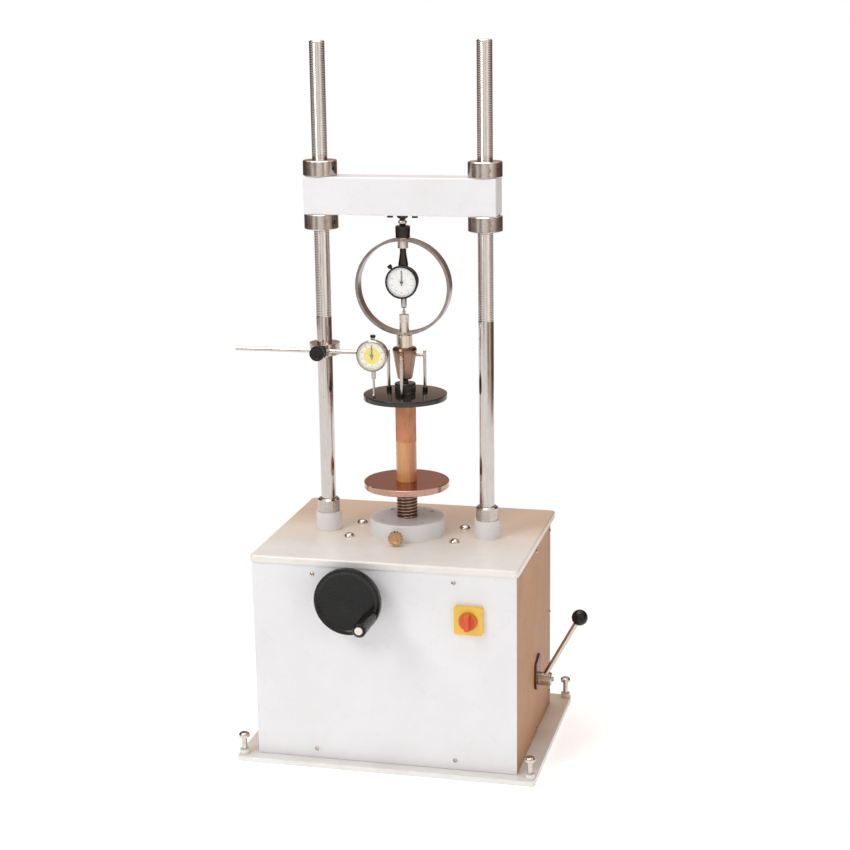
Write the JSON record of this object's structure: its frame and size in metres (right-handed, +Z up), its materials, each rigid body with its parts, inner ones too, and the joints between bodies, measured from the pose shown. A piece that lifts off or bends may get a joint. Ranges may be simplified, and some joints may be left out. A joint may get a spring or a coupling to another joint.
{
  "type": "unconfined compression tester",
  "caption": "Bench load frame on a drive cabinet: handwheel-driven ram and platen below, adjustable crosshead with proving ring, dial gauges and loading disc above.",
  "frame": {"origin": "on the loading axis, at the underside of the base plate", "axes": "+X to the right along the front panel, +Y to the back, +Z up along the ram"},
  "size_m": [0.6559, 0.525, 1.2955],
  "materials": {
    "white_enamel": "stoved white enamel",
    "beige_enamel": "stoved warm beige enamel",
    "frame_primer": "grey primer",
    "housing_iron": "cast, machined on its seats",
    "bush_bronze": "machined bronze",
    "bright_steel": "bright plated",
    "ground_steel": "ground and oiled",
    "black_oxide": "blackened",
    "black_plastic": "moulded phenolic",
    "gauge_body": "black crackle with white dial",
    "gauge_silver": "satin case with yellow dial",
    "hand_black": "matt black hand",
    "belt_rubber": "moulded rubber",
    "switch_yellow": "moulded yellow",
    "switch_red": "moulded orange red",
    "clay": "damp orange-brown clay",
    "varnished_wood": "varnished"
  },
  "bodies": {
    "frame": {"base_plate": "white_enamel", "cabinet_frame": "frame_primer", "front_panel": "white_enamel", "rear_panel": "white_enamel", "left_panel": "beige_enamel", "right_panel": "beige_enamel", "panel_screws": "bright_steel", "top_plate": "white_enamel", "columns": "bright_steel", "column_sleeves": "white_enamel", "column_ring_nuts": "bright_steel", "ram_flange": "white_enamel", "flange_screws": "black_oxide", "gearbox_housing": "housing_iron", "gearbox_bolts": "bright_steel", "gearbox_bushes": "bush_bronze", "motor_body": "frame_primer", "drive_belt": "belt_rubber", "index_plate": "black_oxide", "isolator_switch": "switch_yellow", "power_inlet": "black_plastic"},
    "worm_drive": {"worm_shaft": "ground_steel", "handwheel": "black_plastic", "worm_pulley": "housing_iron"},
    "crank": {"crank_handle": "black_plastic"},
    "lift_nut": {"worm_wheel": "bush_bronze"},
    "lift": {"ram_screw": "ground_steel", "lower_platen": "ground_steel", "specimen_base": "varnished_wood", "specimen": "clay", "loading_disc": "black_oxide", "disc_posts": "bright_steel"},
    "flange_lock": {"flange_lock_knob": "bush_bronze"},
    "crosshead": {"crosshead_beam": "white_enamel", "ring_hanger": "black_oxide", "proving_ring": "ground_steel", "ring_dial_case": "gauge_body", "loading_cone": "bright_steel"},
    "left_nuts": {"left_crosshead_nuts": "bright_steel"},
    "right_nuts": {"right_crosshead_nuts": "bright_steel"},
    "cone_lock": {"cone_lock_screw": "bright_steel"},
    "ring_needle": {"ring_dial_hand": "hand_black"},
    "ring_spindle": {"ring_dial_plunger": "bright_steel"},
    "column_clamp": {"gauge_clamp": "bright_steel"},
    "clamp_lock": {"clamp_knob": "black_plastic"},
    "gauge": {"gauge_rod": "bright_steel", "gauge_case": "gauge_silver"},
    "gauge_needle": {"gauge_hand": "hand_black"},
    "gauge_spindle": {"gauge_plunger": "bright_steel"},
    "clutch_lever": {"lever_shaft": "bright_steel", "lever_ball": "black_plastic", "shift_fork": "ground_steel"},
    "rotor": {"motor_rotor": "ground_steel"},
    "clutch": {"clutch_sleeve": "ground_steel"},
    "belt_pulley": {"clutch_pulley": "housing_iron"},
    "isolator": {"isolator_knob": "switch_red"},
    "front_left_level": {"front_left_levelling_screw": "bright_steel"},
    "front_right_level": {"front_right_levelling_screw": "bright_steel"},
    "rear_left_level": {"rear_left_levelling_screw": "bright_steel"},
    "rear_right_level": {"rear_right_levelling_screw": "bright_steel"}
  },
  "joints": [
    {"name": "handwheel_turn", "type": "hinge", "parent": "frame", "child": "worm_drive", "pos_m": [-0.054, 0, 0.33], "axis": [0, 1, 0], "range_deg": [0, 84000]},
    {"name": "crank_spin", "type": "hinge", "parent": "worm_drive", "child": "crank", "pos_m": [-0.0085, -0.28, 0.3105], "axis": [0, 1, 0], "continuous": true},
    {"name": "worm_wheel_turn", "type": "hinge", "parent": "frame", "child": "lift_nut", "pos_m": [0, 0, 0.33], "axis": [0, 0, 1], "range_deg": [0, 3000]},
    {"name": "ram_lift", "type": "slide", "parent": "frame", "child": "lift", "axis": [0, 0, 1], "range_m": [-0.05, 0]},
    {"name": "flange_lock_turn", "type": "hinge", "parent": "frame", "child": "flange_lock", "pos_m": [0, -0.09, 0.409], "axis": [0, 1, 0], "range_deg": [0, 720]},
    {"name": "left_nuts_turn", "type": "hinge", "parent": "crosshead", "child": "left_nuts", "pos_m": [-0.152, 0, 1], "axis": [0, 0, 1], "range_deg": [0, 24000]},
    {"name": "right_nuts_turn", "type": "hinge", "parent": "crosshead", "child": "right_nuts", "pos_m": [0.152, 0, 1], "axis": [0, 0, 1], "range_deg": [0, 24000]},
    {"name": "crosshead_height", "type": "slide", "parent": "frame", "child": "crosshead", "axis": [0, 0, 1], "range_m": [0, 0.2]},
    {"name": "cone_lock_turn", "type": "hinge", "parent": "crosshead", "child": "cone_lock", "pos_m": [0.03, 0, 0.733], "axis": [1, 0, 0], "range_deg": [0, 720]},
    {"name": "ring_needle_turn", "type": "hinge", "parent": "crosshead", "child": "ring_needle", "pos_m": [0, -0.015, 0.868], "axis": [0, 1, 0], "range_deg": [0, 900]},
    {"name": "ring_spindle_slide", "type": "slide", "parent": "crosshead", "child": "ring_spindle", "axis": [0, 0, 1], "range_m": [0, 0.0025], "stiffness_N_per_m": 100, "springref_m": -0.006},
    {"name": "column_clamp_height", "type": "slide", "parent": "frame", "child": "column_clamp", "axis": [0, 0, 1], "range_m": [0, 0.15]},
    {"name": "clamp_lock_turn", "type": "hinge", "parent": "column_clamp", "child": "clamp_lock", "pos_m": [-0.152, -0.045, 0.739], "axis": [0, 1, 0], "range_deg": [0, 540]},
    {"name": "gauge_rod_slide", "type": "slide", "parent": "column_clamp", "child": "gauge", "axis": [1, 0, 0], "range_m": [-0.05, 0]},
    {"name": "gauge_needle_turn", "type": "hinge", "parent": "gauge", "child": "gauge_needle", "pos_m": [-0.047, -0.057, 0.7395], "axis": [0, 1, 0], "range_deg": [0, 4320]},
    {"name": "gauge_spindle_slide", "type": "slide", "parent": "gauge", "child": "gauge_spindle", "axis": [0, 0, 1], "range_m": [0, 0.012], "stiffness_N_per_m": 60, "springref_m": -0.012},
    {"name": "lever_swing", "type": "hinge", "parent": "frame", "child": "clutch_lever", "pos_m": [0.2, 0.005, 0.121], "axis": [1, 0, 0], "range_deg": [0, 13.5]},
    {"name": "rotor_spin", "type": "hinge", "parent": "frame", "child": "rotor", "pos_m": [0.15, 0, 0.074], "axis": [0, 1, 0], "continuous": true},
    {"name": "clutch_shift", "type": "slide", "parent": "rotor", "child": "clutch", "axis": [0, 1, 0], "range_m": [0, 0.01107]},
    {"name": "belt_pulley_turn", "type": "hinge", "parent": "frame", "child": "belt_pulley", "pos_m": [0.15, 0.05, 0.074], "axis": [0, 1, 0], "range_deg": [0, 67200]},
    {"name": "isolator_turn", "type": "hinge", "parent": "frame", "child": "isolator", "pos_m": [0.1575, -0.2, 0.2975], "axis": [0, 1, 0], "range_deg": [0, 90]},
    {"name": "front_left_level_slide", "type": "slide", "parent": "frame", "child": "front_left_level", "axis": [0, 0, -1], "range_m": [0, 0.02]},
    {"name": "front_right_level_slide", "type": "slide", "parent": "frame", "child": "front_right_level", "axis": [0, 0, -1], "range_m": [0, 0.02]},
    {"name": "rear_left_level_slide", "type": "slide", "parent": "frame", "child": "rear_left_level", "axis": [0, 0, -1], "range_m": [0, 0.02]},
    {"name": "rear_right_level_slide", "type": "slide", "parent": "frame", "child": "rear_right_level", "axis": [0, 0, -1], "range_m": [0, 0.02]}
  ],
  "couplings": [
    {"joint": "worm_wheel_turn", "follows": "ram_lift", "rad_per_m": -1047.2},
    {"joint": "handwheel_turn", "follows": "ram_lift", "rad_per_m": -29322},
    {"joint": "belt_pulley_turn", "follows": "ram_lift", "rad_per_m": -23457},
    {"joint": "left_nuts_turn", "follows": "crosshead_height", "rad_per_m": 2094.4},
    {"joint": "right_nuts_turn", "follows": "crosshead_height", "rad_per_m": 2094.4},
    {"joint": "ring_needle_turn", "follows": "ring_spindle_slide", "rad_per_m": 6283.2},
    {"joint": "gauge_needle_turn", "follows": "gauge_spindle_slide", "rad_per_m": 6283.2},
    {"joint": "clutch_shift", "follows": "lever_swing", "m_per_rad": 0.047}
  ]
}
